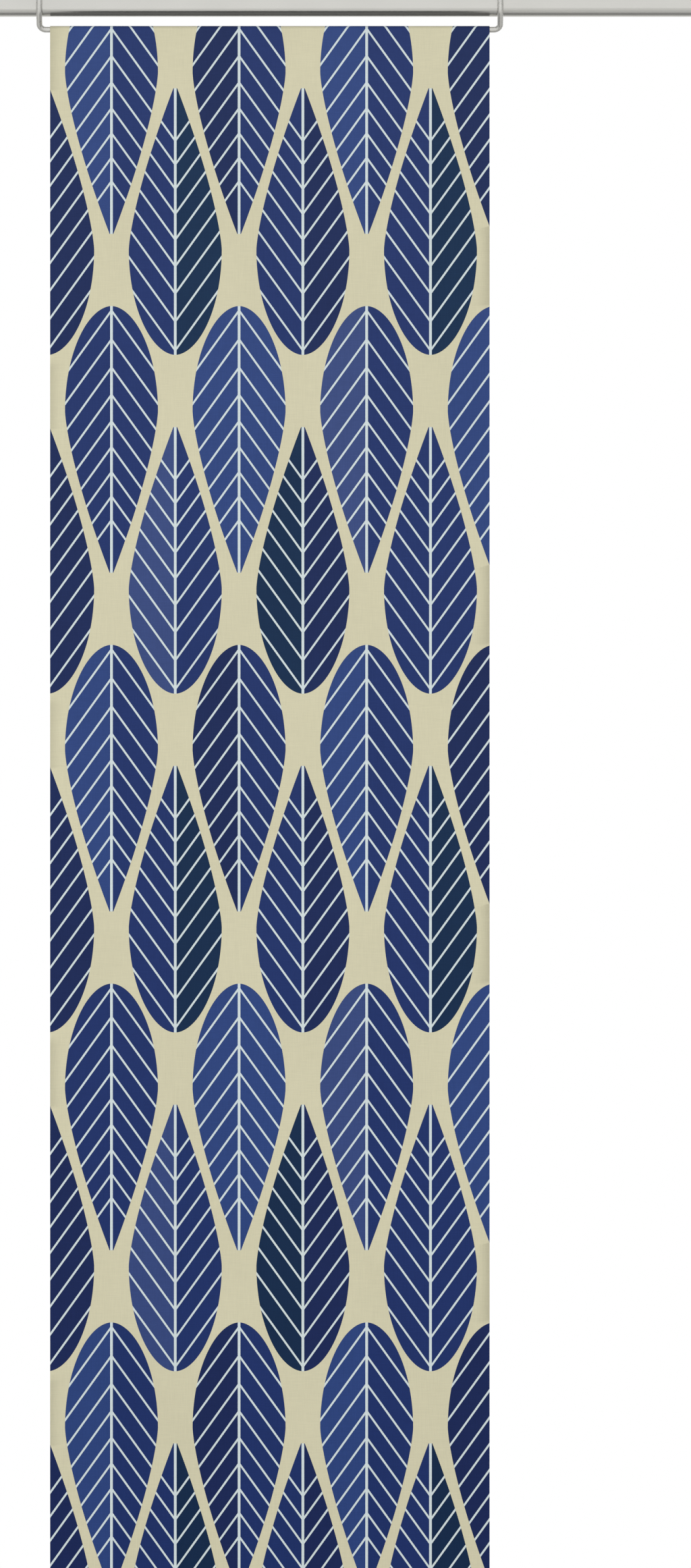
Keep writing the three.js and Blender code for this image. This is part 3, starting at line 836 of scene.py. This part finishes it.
def curtain():
    """The cloth, one film for each of the CAD's inks, and the veins, whose tone the CAD doesn't have."""
    flat, faces = partition()
    tone = tones_at(flat[faces].mean(axis=1))
    verts, shell_faces, slots = shell(flat, faces)
    looks = [cloth_material, cut_edge_material]
    cloth = piece("cloth_panel", verts, shell_faces, "curtain", looks, slots)
    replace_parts(cloth, "curtain_cloth", "print_ground")
    for color, tones in (("mid_blue", (MID, GREY_MID)), ("royal_blue", (ROYAL,)),
                         ("navy_blue", (NAVY, GREEN_NAVY))):
        inks = [(t, ink_materials[t], reverse_materials[t]) for t in tones]
        film = printed(f"{color}_leaves", flat, faces, tone, inks)
        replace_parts(film, f"print_{color}")
    printed("leaf_veins", flat, faces, tone, [(VEIN, vein_material, None)])


# Stage, light and camera. These sizes are in metres.

FLOOR_Z = -2.49
FLOOR_SIDE = 6.0
FLOOR_FRONT = -6.0
FLOOR_BEHIND = 2.4

# Cards that lie level, as (name, from x, to x, from y, to y, z, grey)
LEVEL_CARDS = (
    ("card_panel", 0.1, 0.7, -0.4, -0.1, -0.45, 0.1),
    ("card_gap", 0.1, 0.7, -0.0935, -0.078, -0.02, 0.28),
    ("card_below", -3, 4, -0.6, 1.0, -2.48, 0.4),
)
# Cards that stand at the sides, as (name, x)
SIDE_CARDS = (("card_left", -3.0), ("card_right", 4.0))
SIDE_CARD_Y = (-4.5, 2.5)
SIDE_CARD_Z = (-2.4, 2.5)
SIDE_CARD_GREY = 0.6
CARD_LIGHTER = 1.1

WHITE_BEHIND = 1.0
SOFT_LIGHT = 0.62

# Lights as (name, place, towards, size, power)
LIGHTS = (
    ("key", (-2.0, -5.6, -0.4), (0.4, -0.08, -1.25), 3.4, 123),
    ("fill", (3.4, -4.6, -0.6), (0.4, -0.08, -1.2), 3.0, 40),
)

# The height that the photo shows at the panel sets the lens for a camera this far in front of the panel.
SENSOR_MM = 36.0
FRAME_HEIGHT = 2.1400
CAMERA_DISTANCE = 10.0
PANEL_FRONT_Y = -0.0855
FRAME_MIDDLE_X = 0.5033
FRAME_MIDDLE_Z = -1.0615


def flat_piece(name, corners, dark, light, rough, cells, detail):
    """A four-sided flat with a slight cloudiness between two tones."""
    mesh = bpy.data.meshes.new(name)
    mesh.from_pydata(corners, [], [(0, 1, 2, 3)])
    obj = linked(name, mesh)
    look = Look(f"{name}_pale", rough=rough)
    cloud = look.between(look.noise(cells, cells, cells, detail), NOISE_LOW, NOISE_HIGH)
    look.set("Base Color", look.mixed(cloud, dark, light))
    mesh.materials.append(look.material)
    return obj


def stage():
    z = FLOOR_Z
    corners = [(-FLOOR_SIDE, FLOOR_FRONT, z), (FLOOR_SIDE, FLOOR_FRONT, z), (FLOOR_SIDE, FLOOR_BEHIND, z),
               (-FLOOR_SIDE, FLOOR_BEHIND, z)]
    dark, light = (0.80, 0.80, 0.79, 1), (0.83, 0.83, 0.82, 1)
    flat_piece("floor", corners, dark, light, rough=0.8, cells=2, detail=3)


def reflected_card(name, corners, grey):
    """A matt card beside the set that only the metal's reflections show."""
    dark = (grey, grey, grey, 1)
    card = flat_piece(name, corners, dark, scaled(dark, CARD_LIGHTER), rough=1.0, cells=1, detail=2)
    card.visible_camera = False
    card.visible_diffuse = False
    card.visible_transmission = False
    card.visible_shadow = False


def cards():
    """Dark round the panel, dim below and grey at both sides, for the rail's underside and the rod."""
    for name, x0, x1, y0, y1, z, grey in LEVEL_CARDS:
        reflected_card(name, [(x0, y0, z), (x1, y0, z), (x1, y1, z), (x0, y1, z)], grey)
    (y0, y1), (z0, z1) = SIDE_CARD_Y, SIDE_CARD_Z
    for name, x in SIDE_CARDS:
        reflected_card(name, [(x, y0, z0), (x, y1, z0), (x, y1, z1), (x, y0, z1)], SIDE_CARD_GREY)


def world():
    """White behind the object and in the metal's reflections, and an even soft light on all else."""
    scene_world = bpy.data.worlds.new("studio")
    bpy.context.scene.world = scene_world
    scene_world.use_nodes = True
    tree = scene_world.node_tree
    tree.nodes.clear()
    path = tree.nodes.new("ShaderNodeLightPath")
    seen = tree.nodes.new("ShaderNodeMath")
    seen.operation = "MAXIMUM"
    tree.links.new(path.outputs["Is Camera Ray"], seen.inputs[0])
    tree.links.new(path.outputs["Is Glossy Ray"], seen.inputs[1])
    white, soft = (tree.nodes.new("ShaderNodeBackground") for _ in range(2))
    for background, strength in ((white, WHITE_BEHIND), (soft, SOFT_LIGHT)):
        background.inputs["Color"].default_value = (1, 1, 1, 1)
        background.inputs["Strength"].default_value = strength
    mix = tree.nodes.new("ShaderNodeMixShader")
    out = tree.nodes.new("ShaderNodeOutputWorld")
    tree.links.new(seen.outputs[0], mix.inputs[0])
    tree.links.new(soft.outputs[0], mix.inputs[1])
    tree.links.new(white.outputs[0], mix.inputs[2])
    tree.links.new(mix.outputs[0], out.inputs[0])


def area_light(name, place, towards, size, power):
    """A square light that the metal doesn't mirror."""
    data = bpy.data.lights.new(name, "AREA")
    data.shape = "SQUARE"
    data.size = size
    data.energy = power
    light = linked(name, data)
    light.location = place
    light.visible_glossy = False
    light.rotation_euler = (Vector(towards) - Vector(place)).to_track_quat("-Z", "Y").to_euler()


def camera():
    data = bpy.data.cameras.new("camera")
    data.sensor_width = SENSOR_MM
    data.lens = SENSOR_MM * CAMERA_DISTANCE / FRAME_HEIGHT
    data.clip_end = 60.0
    obj = linked("camera", data)
    obj.location = (FRAME_MIDDLE_X, PANEL_FRONT_Y - CAMERA_DISTANCE, FRAME_MIDDLE_Z)
    obj.rotation_euler = (math.radians(90), 0, 0)
    bpy.context.scene.camera = obj


rail_tube()
rail_cap("left")
rail_cap("right")
brackets()
hanger()
curtain()
cad_copy("weight_bar", "foot_weight_bar", "curtain", "bar_steel", bar_material)
stage()
world()
cards()
for light in LIGHTS:
    area_light(*light)
camera()
bpy.context.scene.view_settings.view_transform = "Standard"
